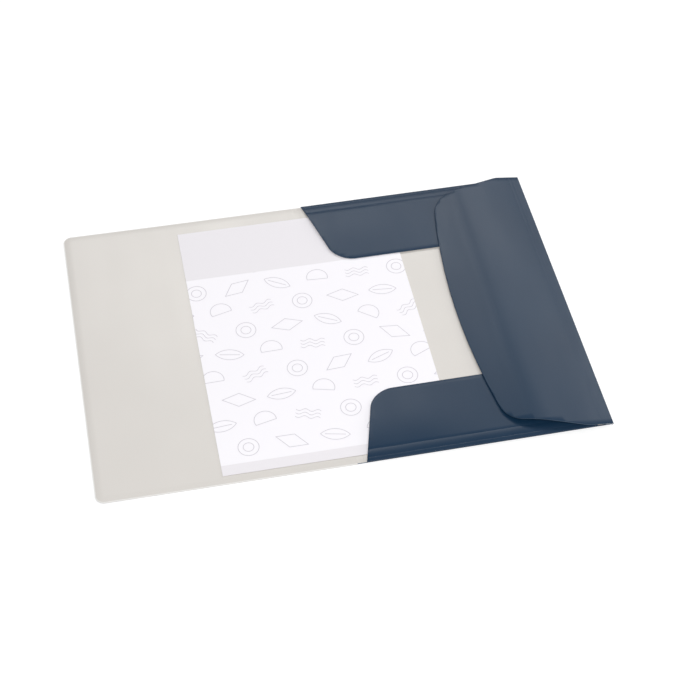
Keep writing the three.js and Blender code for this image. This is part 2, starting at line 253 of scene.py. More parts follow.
def paperMaterial():
    material, tree = newMaterial("printedUncoatedPaper")
    place = addNode(tree, "ShaderNodeTexCoord")
    onSheet = addNode(tree, "ShaderNodeVectorMath", {"operation": "MULTIPLY_ADD"}, {
        0: place.outputs["Object"], 1: (1000, 1000, 0), 2: paperPrint["centre"]})
    across = addNode(tree, "ShaderNodeSeparateXYZ", None, {0: onSheet.outputs[0]})
    # Rows of cells, every other row moved by half a cell
    rowPlace = addNode(tree, "ShaderNodeMath", {"operation": "DIVIDE"}, {
        0: across.outputs["Y"], 1: paperPrint["cellHeight"]})
    row = addNode(tree, "ShaderNodeMath", {"operation": "FLOOR"}, {0: rowPlace.outputs[0]})
    rowHalf = addNode(tree, "ShaderNodeMath", {"operation": "MULTIPLY"}, {0: row.outputs[0], 1: 0.5})
    rowShift = addNode(tree, "ShaderNodeMath", {"operation": "FRACT"}, {0: rowHalf.outputs[0]})
    columnPlace = addNode(tree, "ShaderNodeMath", {"operation": "MULTIPLY_ADD"}, {
        0: across.outputs["X"], 1: 1 / paperPrint["cellWidth"], 2: rowShift.outputs[0]})
    column = addNode(tree, "ShaderNodeMath", {"operation": "FLOOR"}, {0: columnPlace.outputs[0]})
    columnPart = addNode(tree, "ShaderNodeMath", {"operation": "FRACT"}, {0: columnPlace.outputs[0]})
    rowPart = addNode(tree, "ShaderNodeMath", {"operation": "FRACT"}, {0: rowPlace.outputs[0]})
    cellU = addNode(tree, "ShaderNodeMath", {"operation": "MULTIPLY_ADD"}, {
        0: columnPart.outputs[0], 1: paperPrint["cellWidth"], 2: -paperPrint["cellWidth"] / 2})
    cellV = addNode(tree, "ShaderNodeMath", {"operation": "MULTIPLY_ADD"}, {
        0: rowPart.outputs[0], 1: paperPrint["cellHeight"], 2: -paperPrint["cellHeight"] / 2})
    cellName = addNode(tree, "ShaderNodeCombineXYZ", None, {0: column.outputs[0], 1: row.outputs[0]})
    luck = addNode(tree, "ShaderNodeTexWhiteNoise", {"noise_dimensions": "2D"}, {0: cellName.outputs[0]})
    tilt = addNode(tree, "ShaderNodeMath", {"operation": "MULTIPLY_ADD"}, {
        0: luck.outputs["Value"], 1: 2 * paperPrint["tilt"], 2: -paperPrint["tilt"]})
    inCell = addNode(tree, "ShaderNodeCombineXYZ", None, {0: cellU.outputs[0], 1: cellV.outputs[0]})
    tilted = addNode(tree, "ShaderNodeVectorRotate", {"rotation_type": "Z_AXIS"}, {
        "Vector": inCell.outputs[0], "Angle": tilt.outputs[0]})
    spot = addNode(tree, "ShaderNodeSeparateXYZ", None, {0: tilted.outputs[0]})
    u, v = spot.outputs["X"], spot.outputs["Y"]
    sizeU = addNode(tree, "ShaderNodeMath", {"operation": "ABSOLUTE"}, {0: u})
    sizeV = addNode(tree, "ShaderNodeMath", {"operation": "ABSOLUTE"}, {0: v})
    # Leaf: two shallow arcs and a vein
    leafV = addNode(tree, "ShaderNodeMath", {"operation": "ADD"}, {
        0: sizeV.outputs[0], 1: paperPrint["leafSink"]})
    leafSpot = addNode(tree, "ShaderNodeCombineXYZ", None, {0: u, 1: leafV.outputs[0]})
    leafReach = addNode(tree, "ShaderNodeVectorMath", {"operation": "LENGTH"}, {0: leafSpot.outputs[0]})
    leafSide = addNode(tree, "ShaderNodeMath", {"operation": "SUBTRACT"}, {
        0: leafReach.outputs["Value"], 1: paperPrint["leafRadius"]})
    leafEdge = addNode(tree, "ShaderNodeMath", {"operation": "ABSOLUTE"}, {0: leafSide.outputs[0]})
    veinEnd = addNode(tree, "ShaderNodeMath", {"operation": "SUBTRACT"}, {
        0: sizeU.outputs[0], 1: paperPrint["veinHalf"]})
    vein = addNode(tree, "ShaderNodeMath", {"operation": "MAXIMUM"}, {
        0: sizeV.outputs[0], 1: veinEnd.outputs[0]})
    leaf = addNode(tree, "ShaderNodeMath", {"operation": "MINIMUM"}, {
        0: leafEdge.outputs[0], 1: vein.outputs[0]})
    # Two rings about one middle
    reach = addNode(tree, "ShaderNodeVectorMath", {"operation": "LENGTH"}, {0: tilted.outputs[0]})
    ringMiddle = addNode(tree, "ShaderNodeMath", {"operation": "SUBTRACT"}, {
        0: reach.outputs["Value"], 1: paperPrint["ringsMiddle"]})
    ringBand = addNode(tree, "ShaderNodeMath", {"operation": "ABSOLUTE"}, {0: ringMiddle.outputs[0]})
    ringSide = addNode(tree, "ShaderNodeMath", {"operation": "SUBTRACT"}, {
        0: ringBand.outputs[0], 1: paperPrint["ringsHalf"]})
    rings = addNode(tree, "ShaderNodeMath", {"operation": "ABSOLUTE"}, {0: ringSide.outputs[0]})
    # Half-moon
    moonRound = addNode(tree, "ShaderNodeMath", {"operation": "SUBTRACT"}, {
        0: reach.outputs["Value"], 1: paperPrint["moonRadius"]})
    moonFlat = addNode(tree, "ShaderNodeMath", {"operation": "SUBTRACT"}, {
        0: paperPrint["moonFlat"], 1: v})
    moonSide = addNode(tree, "ShaderNodeMath", {"operation": "MAXIMUM"}, {
        0: moonRound.outputs[0], 1: moonFlat.outputs[0]})
    moon = addNode(tree, "ShaderNodeMath", {"operation": "ABSOLUTE"}, {0: moonSide.outputs[0]})
    # Lozenge
    lozengeU = addNode(tree, "ShaderNodeMath", {"operation": "MULTIPLY"}, {
        0: sizeU.outputs[0], 1: paperPrint["lozengeSlope"]})
    lozengeSum = addNode(tree, "ShaderNodeMath", {"operation": "ADD"}, {
        0: lozengeU.outputs[0], 1: sizeV.outputs[0]})
    lozengeSide = addNode(tree, "ShaderNodeMath", {"operation": "SUBTRACT"}, {
        0: lozengeSum.outputs[0], 1: paperPrint["lozengeHeight"]})
    lozengeEdge = addNode(tree, "ShaderNodeMath", {"operation": "ABSOLUTE"}, {0: lozengeSide.outputs[0]})
    lozenge = addNode(tree, "ShaderNodeMath", {"operation": "MULTIPLY"}, {
        0: lozengeEdge.outputs[0], 1: paperPrint["lozengeLine"]})
    # Three short waves
    swing = addNode(tree, "ShaderNodeMath", {"operation": "MULTIPLY"}, {
        0: u, 1: paperPrint["waveTurn"]})
    swung = addNode(tree, "ShaderNodeMath", {"operation": "SINE"}, {0: swing.outputs[0]})
    waveV = addNode(tree, "ShaderNodeMath", {"operation": "MULTIPLY_ADD"}, {
        0: swung.outputs[0], 1: paperPrint["waveHeight"], 2: v})
    waveSize = addNode(tree, "ShaderNodeMath", {"operation": "ABSOLUTE"}, {0: waveV.outputs[0]})
    waveSide = addNode(tree, "ShaderNodeMath", {"operation": "PINGPONG"}, {
        0: waveSize.outputs[0], 1: paperPrint["waveSpacing"]})
    waveEndU = addNode(tree, "ShaderNodeMath", {"operation": "SUBTRACT"}, {
        0: sizeU.outputs[0], 1: paperPrint["waveHalf"]})
    waveEndV = addNode(tree, "ShaderNodeMath", {"operation": "SUBTRACT"}, {
        0: waveSize.outputs[0], 1: paperPrint["wavesHeight"]})
    waveEnd = addNode(tree, "ShaderNodeMath", {"operation": "MAXIMUM"}, {
        0: waveEndU.outputs[0], 1: waveEndV.outputs[0]})
    waves = addNode(tree, "ShaderNodeMath", {"operation": "MAXIMUM"}, {
        0: waveSide.outputs[0], 1: waveEnd.outputs[0]})
    # Each cell takes one of the five shapes, the next but one to that of the cell before it in the row
    shapes = (leaf, rings, moon, lozenge, waves)
    columnStep = addNode(tree, "ShaderNodeMath", {"operation": "MULTIPLY_ADD"}, {
        0: column.outputs[0], 1: 2.0, 2: row.outputs[0]})
    kind = addNode(tree, "ShaderNodeMath", {"operation": "FLOORED_MODULO"}, {
        0: columnStep.outputs[0], 1: float(len(shapes))})
    chosen = None
    for number, shape in enumerate(shapes):
        mine = addNode(tree, "ShaderNodeMath", {"operation": "COMPARE"}, {
            0: kind.outputs[0], 1: float(number), 2: 0.5})
        chosen = addNode(tree, "ShaderNodeMath", {"operation": "MULTIPLY_ADD"}, {
            0: mine.outputs[0], 1: shape.outputs[0], 2: chosen.outputs[0] if chosen else 0.0})
    drawn = addNode(tree, "ShaderNodeMapRange", {"interpolation_type": "SMOOTHSTEP"}, {
        "Value": chosen.outputs[0], "From Min": paperPrint["lineHalf"],
        "From Max": paperPrint["lineHalf"] + paperPrint["lineSoft"], "To Min": 1.0, "To Max": 0.0})
    aboveHead = addNode(tree, "ShaderNodeMath", {"operation": "GREATER_THAN"}, {
        0: across.outputs["Y"], 1: paperPrint["headFrom"]})
    belowFoot = addNode(tree, "ShaderNodeMath", {"operation": "LESS_THAN"}, {
        0: across.outputs["Y"], 1: paperPrint["footTo"]})
    banded = addNode(tree, "ShaderNodeMath", {"operation": "MAXIMUM"}, {
        0: aboveHead.outputs[0], 1: belowFoot.outputs[0]})
    fibre = addNode(tree, "ShaderNodeTexNoise", None, {
        "Vector": place.outputs["Object"], "Scale": 1 / paperPrint["fibreSize"], "Detail": 3.0})
    bare = addNode(tree, "ShaderNodeMix", {"data_type": "RGBA"}, {
        0: fibre.outputs["Fac"], 6: linearColour(paperPrint["fibre"]),
        7: linearColour(paperPrint["paper"])})
    lined = addNode(tree, "ShaderNodeMix", {"data_type": "RGBA"}, {
        0: drawn.outputs[0], 6: bare.outputs[2], 7: linearColour(paperPrint["line"])})
    tinted = addNode(tree, "ShaderNodeMix", {"data_type": "RGBA"}, {
        0: banded.outputs[0], 6: lined.outputs[2], 7: linearColour(paperPrint["tint"])})
    relief = addNode(tree, "ShaderNodeBump", None, {
        "Strength": paperPrint["relief"], "Distance": paperPrint["fibreHeight"],
        "Height": fibre.outputs["Fac"]})
    shader = addNode(tree, "ShaderNodeBsdfPrincipled", None, {
        "Base Color": tinted.outputs[2], "Roughness": paperPrint["rough"], "IOR": paperPrint["ior"],
        "Normal": relief.outputs[0]})
    closeMaterial(tree, shader)
    return material


# Flat woven elastic: cross ribs every 1.1 mm over the rubber, with a finer thread along the strap. Its
# colour is painted darker where the weave lies low, painted shade in the hollows.
braid = {
    "thread": "#2d3c4d", "hollowShade": "#17212c", "ribPitch": 1.1, "threadPitch": 0.55,
    "ribHeight": 0.0002, "relief": 0.7, "rough": 0.85, "ior": 1.5, "sheen": 0.3, "sheenRough": 0.5,
}


def braidMaterial():
    material, tree = newMaterial("wovenElasticBraid")
    place = addNode(tree, "ShaderNodeTexCoord")
    inRibs = addNode(tree, "ShaderNodeVectorMath", {"operation": "MULTIPLY"}, {
        0: place.outputs["Object"],
        1: (2000 * math.pi / braid["threadPitch"], 2000 * math.pi / braid["ribPitch"],
            2000 * math.pi / braid["ribPitch"])})
    waved = addNode(tree, "ShaderNodeVectorMath", {"operation": "SINE"}, {0: inRibs.outputs[0]})
    parts = addNode(tree, "ShaderNodeSeparateXYZ", None, {0: waved.outputs[0]})
    crossed = addNode(tree, "ShaderNodeMath", {"operation": "MULTIPLY"}, {
        0: parts.outputs["X"], 1: parts.outputs["Y"]})
    height = addNode(tree, "ShaderNodeMapRange", None, {
        "Value": crossed.outputs[0], "From Min": -1.0, "From Max": 1.0})
    # painted shade: the thread colour darkens where the weave's height is low
    colour = addNode(tree, "ShaderNodeMix", {"data_type": "RGBA"}, {
        0: height.outputs[0], 6: linearColour(braid["hollowShade"]), 7: linearColour(braid["thread"])})
    relief = addNode(tree, "ShaderNodeBump", None, {
        "Strength": braid["relief"], "Distance": braid["ribHeight"], "Height": height.outputs[0]})
    shader = addNode(tree, "ShaderNodeBsdfPrincipled", None, {
        "Base Color": colour.outputs[2], "Roughness": braid["rough"], "IOR": braid["ior"],
        "Sheen Weight": braid["sheen"], "Sheen Roughness": braid["sheenRough"],
        "Normal": relief.outputs[0]})
    closeMaterial(tree, shader)
    return material


# Moulded nylon clip, spark-eroded tool finish: a fine even grain with a dull shine
clipPlastic = {
    "dark": "#33435a", "light": "#3b4c63",
    "grainSize": 0.0005, "grainHeight": 0.00004, "relief": 0.4, "rough": 0.45, "ior": 1.53,
}


def clipMaterial():
    material, tree = newMaterial("mouldedClipPlastic")
    place = addNode(tree, "ShaderNodeTexCoord")
    grain = addNode(tree, "ShaderNodeTexNoise", None, {
        "Vector": place.outputs["Object"], "Scale": 1 / clipPlastic["grainSize"], "Detail": 2.0})
    colour = addNode(tree, "ShaderNodeMix", {"data_type": "RGBA"}, {
        0: grain.outputs["Fac"], 6: linearColour(clipPlastic["dark"]),
        7: linearColour(clipPlastic["light"])})
    relief = addNode(tree, "ShaderNodeBump", None, {
        "Strength": clipPlastic["relief"], "Distance": clipPlastic["grainHeight"],
        "Height": grain.outputs["Fac"]})
    shader = addNode(tree, "ShaderNodeBsdfPrincipled", None, {
        "Base Color": colour.outputs[2], "Roughness": clipPlastic["rough"],
        "IOR": clipPlastic["ior"], "Normal": relief.outputs[0]})
    closeMaterial(tree, shader)
    return material


outside, inside = blueFoilMaterial(), greyFoilMaterial()
coverEdge, flapEdge = cutEdgeMaterial("greyCutEdge"), cutEdgeMaterial("blueCutEdge")
print("materials made")


# Editing by hand: pick chooses points by their place, and the calls after it work on what is picked
def openForEditing(piece):
    bpy.ops.object.select_all(action="DESELECT")
    piece.select_set(True)
    bpy.context.view_layer.objects.active = piece
    bpy.ops.object.mode_set(mode="EDIT")
    bpy.ops.mesh.select_mode(type="VERT")


def closeEditing():
    bpy.ops.object.mode_set(mode="OBJECT")


def pick(piece, test):
    shape = bmesh.from_edit_mesh(piece.data)
    for point in shape.verts:
        point.select_set(bool(test(point.co)))
    shape.select_flush_mode()
    bmesh.update_edit_mesh(piece.data)


# Picks faces by their middle and takes them out
def cutOut(piece, test):
    bpy.ops.mesh.select_mode(type="FACE")
    bpy.ops.mesh.select_all(action="DESELECT")
    shape = bmesh.from_edit_mesh(piece.data)
    for face in shape.faces:
        face.select_set(bool(test(face.calc_center_median())))
    bmesh.update_edit_mesh(piece.data)
    bpy.ops.mesh.delete(type="FACE")
    bpy.ops.mesh.select_mode(type="VERT")


def addBlank(name, x0, x1, y0, y1, z=0.0):
    bpy.ops.object.select_all(action="DESELECT")
    middle = ((x0 + x1) / 2, (y0 + y1) / 2, z)
    bpy.ops.mesh.primitive_plane_add(size=1, location=middle)
    piece = bpy.context.object
    piece.name = name
    piece.scale = (x1 - x0, y1 - y0, 1)
    bpy.ops.object.transform_apply(location=True, rotation=False, scale=True)
    return piece


# Test for the points from one line across the folder outwards
def pastLine(y, sense):
    return lambda co: (co.y - y) * sense > -hair


# One straight cut across the picked part. Where trim is true, the faces on the normal's side go.
def cutAcross(piece, point, normal, test=lambda co: True, trim=False):
    pick(piece, test)
    bpy.ops.mesh.bisect(plane_co=point, plane_no=normal, threshold=0.00005)
    if trim:
        base, way = Vector(point), Vector(normal)
        cutOut(piece, lambda co: test(co) and (co - base).dot(way) > 0)


def scoreAlongY(piece, places, test=lambda co: True):
    for x in places:
        cutAcross(piece, (x, 0, 0), (1, 0, 0), test)


def scoreAlongX(piece, places, test=lambda co: True):
    for y in places:
        cutAcross(piece, (0, y, 0), (0, 1, 0), test)


def roundCorner(piece, x, y, reach, steps):
    pick(piece, lambda co: abs(co.x - x) < 2 * hair and abs(co.y - y) < 2 * hair)
    bpy.ops.mesh.bevel(offset_type="OFFSET", offset=reach, segments=steps, affect="VERTICES")


# Flat distance of each kink in a section line, and how far the foil turns up there. Lead is how much
# of the line lies before the start of the fold.
def foldsOf(line, lead):
    reach, folds = -lead, []
    for before, here, after in zip(line, line[1:], line[2:]):
        first, second = here - before, after - here
        reach += first.length
        turn = math.atan2(first.x * second.y - first.y * second.x, first.dot(second))
        folds.append((reach, turn))
    return folds, reach + (line[-1] - line[-2]).length


# Folds a flat blank up along many parallel lines, from the outermost line to the innermost.
# Sense is the way outwards along the axis that is folded over, and start is where the first fold begins.
def foldUp(piece, folds, axis, sense, start, level):
    along = "xy".index(axis)
    turningAxis = "Y" if axis == "x" else "X"
    shape = bmesh.from_edit_mesh(piece.data)
    reach = [(point.co[along] - start) * sense for point in shape.verts]
    for distance, turn in reversed(folds):
        if abs(turn) < 1e-7:
            continue
        shape = bmesh.from_edit_mesh(piece.data)
        for point, mine in zip(shape.verts, reach):
            point.select_set(mine > distance + hair / 3)
        shape.select_flush_mode()
        bmesh.update_edit_mesh(piece.data)
        line = start + sense * distance
        centre = (line, 0, level) if axis == "x" else (0, line, level)
        # Without a window the operator turns the other way about its axis
        value = turn if axis == "x" else -turn * sense
        bpy.ops.transform.rotate(value=value, orient_axis=turningAxis, center_override=centre)


# Gives the blank its thickness, behind its face or, with side 1, in front of it. Foil takes three
# materials, for its outside, its inside and its cut edge.
def thicken(piece, thickness, materials, side=-1):
    for material in materials:
        piece.data.materials.append(material)
    wall = piece.modifiers.new("wall", "SOLIDIFY")
    wall.thickness = thickness
    wall.offset = side
    wall.use_even_offset = True
    wall.material_offset = 1 if len(materials) > 1 else 0
    wall.material_offset_rim = 2 if len(materials) > 2 else 0
    bpy.ops.object.modifier_apply(modifier=wall.name)


# Breaks the sharp cut edges, except where the next piece carries on
def breakEdges(piece, width, steps, carriesOn=lambda co: False, sharp=50):
    openForEditing(piece)
    bpy.ops.mesh.select_mode(type="EDGE")
    shape = bmesh.from_edit_mesh(piece.data)
    for line in shape.edges:
        keen = len(line.link_faces) == 2 and line.calc_face_angle(0.0) > math.radians(sharp)
        line.select_set(keen and not all(carriesOn(point.co) for point in line.verts))
    bmesh.update_edit_mesh(piece.data)
    bpy.ops.mesh.bevel(offset_type="OFFSET", offset=width, segments=steps, affect="EDGES",
                       clamp_overlap=True)
    closeEditing()


def smoothShade(piece, angle=32):
    bpy.ops.object.select_all(action="DESELECT")
    piece.select_set(True)
    bpy.context.view_layer.objects.active = piece
    bpy.ops.object.shade_smooth_by_angle(angle=math.radians(angle))


# From millimetres on the folder to metres in the row's frame, after the lean where the piece has it
def settle(piece, leans=False):
    move = Matrix.Translation(toRow(0, 0, 0)) @ Matrix.Scale(0.001, 4)
    if leans:
        crease = Vector((folder["backCrease"], 0, 0))
        turn = Matrix.Rotation(-math.atan(folder["lean"]), 4, "Y")
        for point in piece.data.vertices:
            if point.co.x > crease.x:
                point.co = turn @ (point.co - crease) + crease
    piece.data.transform(move)
    piece.data.update()


def evenSteps(first, last, step, margin=0.0):
    first, last = first + margin, last - margin
    count = max(1, round((last - first) / step))
    return [first + (last - first) * i / count for i in range(count + 1)]


# Lines on both sides of a crease, for the foil to bend by
creaseSteps = [-0.8, -0.55, -0.3, -0.12, 0.0, 0.12, 0.3, 0.55, 0.8]


# Presses the upper face down along a crease
def pressCrease(piece, crease):
    for point in piece.data.vertices:
        if abs(point.co.x - crease) < hair and abs(point.co.z - folder["foil"]) < hair:
            point.co.z -= folder["creaseDepth"]


# Front cover with the cover's half of the spine, one flat piece of foil. Its free edge curls up a very
# little, as foil off the roll does. Rows and columns are lines to bend by: their spacing and margin.
coverFoil = {
    "cornerSteps": 14, "rows": (10.2, 8), "columnStep": 8,
    "curl": 0.45, "curlRun": 104, "curlMiddle": 0.35,
}


def makeCover():
    seam, height, corner = folder["spineSeam"], folder["height"], folder["coverCorner"]
    piece = addBlank("foilCover", 0, seam, 0, height)
    openForEditing(piece)
    roundCorner(piece, 0, 0, corner, coverFoil["cornerSteps"])
    roundCorner(piece, 0, height, corner, coverFoil["cornerSteps"])
    scoreAlongY(piece, [folder["coverCrease"] + step for step in creaseSteps])
    scoreAlongY(piece, evenSteps(corner, coverFoil["curlRun"], coverFoil["columnStep"]))
    scoreAlongX(piece, evenSteps(0, height, *coverFoil["rows"]))
    bpy.ops.mesh.select_all(action="SELECT")
    bpy.ops.mesh.flip_normals()
    closeEditing()
    thicken(piece, folder["foil"], (outside, inside, coverEdge))
    pressCrease(piece, folder["coverCrease"])
    least = coverFoil["curlMiddle"]
    for point in piece.data.vertices:
        rise = max(0.0, 1 - point.co.x / coverFoil["curlRun"]) ** 2
        towardsEnds = (2 * point.co.y / height - 1) ** 2
        point.co.z += coverFoil["curl"] * rise * (least + (1 - least) * towardsEnds)
    breakEdges(piece, folder["cutBevel"], 2, lambda co: co.x > seam - hair)
    settle(piece)
    smoothShade(piece)
    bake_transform(piece)
    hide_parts("front_cover")


makeCover()
print("cover folded out")

# Back panel, the other half of the spine and the two end flaps, all one blank.
# Section lines run outwards from the fold and up, on the foil's outer face.
backFoil = {
    "foldStart": 237.0, "foldEnd": 455.0, "bend": 1.0, "bendSteps": 14,
    "scores": ((4.0, 2.5), (12.0, 3.0)), "scoreHalf": 0.42, "scoreDepth": 0.13,
    "freeHeight": 2.3, "slant": 0.265, "corner": 25.0, "cornerSteps": 16,
    "rootInset": 0.6, "mitreReach": 14.0, "mitreRun": 11.0,
    "nearDepth": 77.0, "farDepth": 80.0,
    "slit": (6.6, 1.3), "slitX": 439.0, "slitInset": 12.0,
    "rows": (30, 24), "columns": (243, 451, 6.5), "lead": 1.0,
    "flapFirst": 2.4, "flapAfterScores": 3.5, "flapStep": 4.6,
    "nearCrown": 1.3, "farCrown": 0.9, "crownLean": 0.75, "crownPower": 1.2,
    "bulgeFrom": 12, "pressedFrom": 352, "pressedFade": 70,
}


def endFlapLine(depth):
    bend = backFoil["bend"]
    line = []
    for i in range(backFoil["bendSteps"] + 1):
        angle = math.pi * i / backFoil["bendSteps"]
        line.append(Vector((-bend + bend * math.sin(angle), bend - bend * math.cos(angle))))
    half, deep = backFoil["scoreHalf"], backFoil["scoreDepth"]
    (d1, h1), (d2, h2) = backFoil["scores"]
    corners = [(bend, 2 * bend), (d1, h1), (d2, h2), (depth, backFoil["freeHeight"])]

    def heightAt(d):
        for (da, ha), (db, hb) in zip(corners, corners[1:]):
            if d <= db:
                return ha + (hb - ha) * (d - da) / (db - da)
        return corners[-1][1]

    places = [backFoil["flapFirst"], (d1 + d2) / 2]
    for score in (d1, d2):
        places += [score + half * part for part in (-1, -0.5, 0, 0.5, 1)]
    places += evenSteps(d2 + backFoil["flapAfterScores"], depth, backFoil["flapStep"])
    for d in sorted(places):
        sunk = max(0.0, max(1 - abs(d - score) / half for score in (d1, d2)))
        line.append(Vector((-d, heightAt(d) - deep * sunk)))
    line.insert(0, Vector((-bend - backFoil["lead"], 0)))  # the panel before the bend
    return line


def makeBack():
    f = backFoil
    height, seam, fold = folder["height"], folder["spineSeam"], folder["sideFold"]
    bend = f["bend"]
    (nearFolds, nearLength), (farFolds, farLength) = [
        foldsOf(endFlapLine(depth), f["lead"]) for depth in (f["nearDepth"], f["farDepth"])]
    piece = addBlank("foilBack", seam, fold, bend - nearLength, height - bend + farLength)
    openForEditing(piece)
    cutAcross(piece, (0, 0, 0), (0, 1, 0))
    cutAcross(piece, (0, height, 0), (0, 1, 0))
    # Outline of each flap, drawn on the flat blank
    slant, mitreRun, mitreReach = f["slant"], f["mitreRun"], f["mitreReach"]
    for sense, edgeY, start, folds, length in (
            (-1, 0.0, bend, nearFolds, nearLength), (1, height, height - bend, farFolds, farLength)):
        onFlap = pastLine(edgeY, sense)
        cutAcross(piece, (f["foldStart"], 0, 0), (-1, 0, 0), onFlap, True)
        cutAcross(piece, (f["foldEnd"], 0, 0), (1, 0, 0), onFlap, True)
        # The slanted ends begin just before the bend ends on the flat blank
        base = start + sense * math.pi * bend - sense * f["rootInset"]
        cutAcross(piece, (0, base, 0), (0, 1, 0), onFlap)
        beyond = pastLine(base, sense)
        cutAcross(piece, (f["foldStart"], base, 0), (-1, sense * slant, 0), beyond, True)
        mitreY = base + sense * mitreReach
        cutAcross(piece, (f["foldEnd"], base, 0), (mitreReach, sense * mitreRun, 0), beyond, True)
        cutAcross(piece, (f["foldEnd"] - mitreRun, mitreY, 0), (1, sense * slant, 0), beyond, True)
        tip = start + sense * length
        run = abs(tip - base)
        opening = math.pi / 2 + math.atan(slant)
        reach = f["corner"] / math.tan(opening / 2)
        roundCorner(piece, f["foldStart"] + slant * run, tip, reach, f["cornerSteps"])
        farX = f["foldEnd"] - mitreRun - slant * (run - mitreReach)
        roundCorner(piece, farX, tip, reach, f["cornerSteps"])
        scoreAlongX(piece, [start] + [start + sense * distance for distance, _ in folds],
                    pastLine(start, sense))
    # Slits for the elastic
    wide, tall = f["slit"]
    slitSides = [f["slitX"] - wide / 2, f["slitX"] + wide / 2]
    slitEnds = [y + side * tall / 2
                for y in (f["slitInset"], height - f["slitInset"]) for side in (-1, 1)]
    scoreAlongX(piece, [bend, height - bend] + slitEnds + evenSteps(0, height, *f["rows"]))
    scoreAlongY(piece, slitSides)
    cutOut(piece, lambda co: slitSides[0] < co.x < slitSides[1]
           and (slitEnds[0] < co.y < slitEnds[1] or slitEnds[2] < co.y < slitEnds[3]))
    scoreAlongY(piece, [folder["backCrease"] + step for step in creaseSteps])
    scoreAlongY(piece, evenSteps(*f["columns"]))
    # Bulge of each flap: free at its left end, pressed flat by the side flap on its right
    shape = bmesh.from_edit_mesh(piece.data)
    bulge = {}
    for point in shape.verts:
        for sense, start, depth, crown in ((-1, bend, f["nearDepth"], f["nearCrown"]),
                                           (1, height - bend, f["farDepth"], f["farCrown"])):
            d = (point.co.y - start) * sense - math.pi * bend + bend  # depth from the fold
            if d > f["bulgeFrom"]:
                share = (d - f["bulgeFrom"]) / (depth - f["bulgeFrom"])
                fade = max(0.0, min(1.0, (f["pressedFrom"] - point.co.x) / f["pressedFade"]))
                fade = fade * fade * (3 - 2 * fade)
                swell = math.sin(math.pi * min(1.0, share ** f["crownLean"])) ** f["crownPower"]
                bulge[point.index] = crown * fade * swell
    bpy.ops.mesh.select_all(action="SELECT")
    bpy.ops.mesh.flip_normals()
    foldUp(piece, nearFolds, "y", -1, bend, 0.0)
    foldUp(piece, farFolds, "y", 1, height - bend, 0.0)
    shape = bmesh.from_edit_mesh(piece.data)
    shape.verts.ensure_lookup_table()
    for index, rise in bulge.items():
        shape.verts[index].co.z += rise
    bmesh.update_edit_mesh(piece.data)
    closeEditing()
    thicken(piece, folder["foil"], (outside, inside, flapEdge))
    pressCrease(piece, folder["backCrease"])
    breakEdges(piece, folder["cutBevel"], 2, lambda co: co.x < seam + hair or co.x > fold - hair)
    settle(piece, True)
    smoothShade(piece)
    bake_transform(piece)
    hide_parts("back_with_end_flaps", "spine")


makeBack()
print("back panel and end flaps folded")

# Side flap: a tight bend round the panel's edge, then one long arch
sideFoil = {
    "bendMiddle": 2.324, "bendOuter": 1.2, "bendSteps": 20,
    "arch": ((0.15, 3.524), (23, 6.7), (47.57, 9.1090), (62, 10), (73.691, 9.226),
             (87.114, 6.775), (105.3, 3.55)),
    "archSteps": 72, "rows": (7.3, 6), "lead": 1.0,
    "scores": (6.0, 9.6), "scoreHalf": 0.5, "scoreMargin": 0.3, "scoreDepth": 0.035,
    "shoulder": 23.0, "shoulderRadius": 12.0, "shoulderSteps": 6,
    "cornerReach": 91.9, "taper": 0.29, "corner": 24.0, "cornerSteps": 16,
    "bow": 13.4, "bowSteps": 12,
}


# The same smooth curve through the arch's points as in the CAD source
def archHeights(points, steps):
    found = []
    for i in range(steps + 1):
        along = (len(points) - 1) * i / steps
        index = min(int(along), len(points) - 2)
        t = along - index
        p0 = Vector(points[max(index - 1, 0)])
        p1, p2 = Vector(points[index]), Vector(points[index + 1])
        p3 = Vector(points[min(index + 2, len(points) - 1)])
        v0, v1 = (p2 - p0) / 2, (p3 - p1) / 2
        found.append((2 * p1 - 2 * p2 + v0 + v1) * t ** 3 + (-3 * p1 + 3 * p2 - 2 * v0 - v1) * t ** 2
                     + v0 * t + p1)
    return found


def sideFlapLine():
    s = sideFoil
    middle, outer = s["bendMiddle"], s["bendOuter"]
    line = [Vector((-s["lead"], middle - outer))]  # the panel before the bend
    for i in range(s["bendSteps"] + 1):
        angle = math.pi * i / s["bendSteps"]
        line.append(Vector((outer * math.sin(angle), middle - outer * math.cos(angle))))
    arch = archHeights(s["arch"], s["archSteps"])
    half, clear = s["scoreHalf"], s["scoreHalf"] + s["scoreMargin"]

    def heightAt(d):
        for a, b in zip(arch, arch[1:]):
            if d <= b.x:
                return a.y + (b.y - a.y) * (d - a.x) / (b.x - a.x)
        return arch[-1].y

    places = [p.x for p in arch[1:] if all(abs(p.x - score) > clear for score in s["scores"])]
    for score in s["scores"]:
        places += [score + half * part for part in (-1, -0.5, 0, 0.5, 1)]
    for d in sorted(places):
        sunk = max(0.0, max(1 - abs(d - score) / half for score in s["scores"]))
        line.append(Vector((-d, heightAt(d) - s["scoreDepth"] * sunk)))
    return line


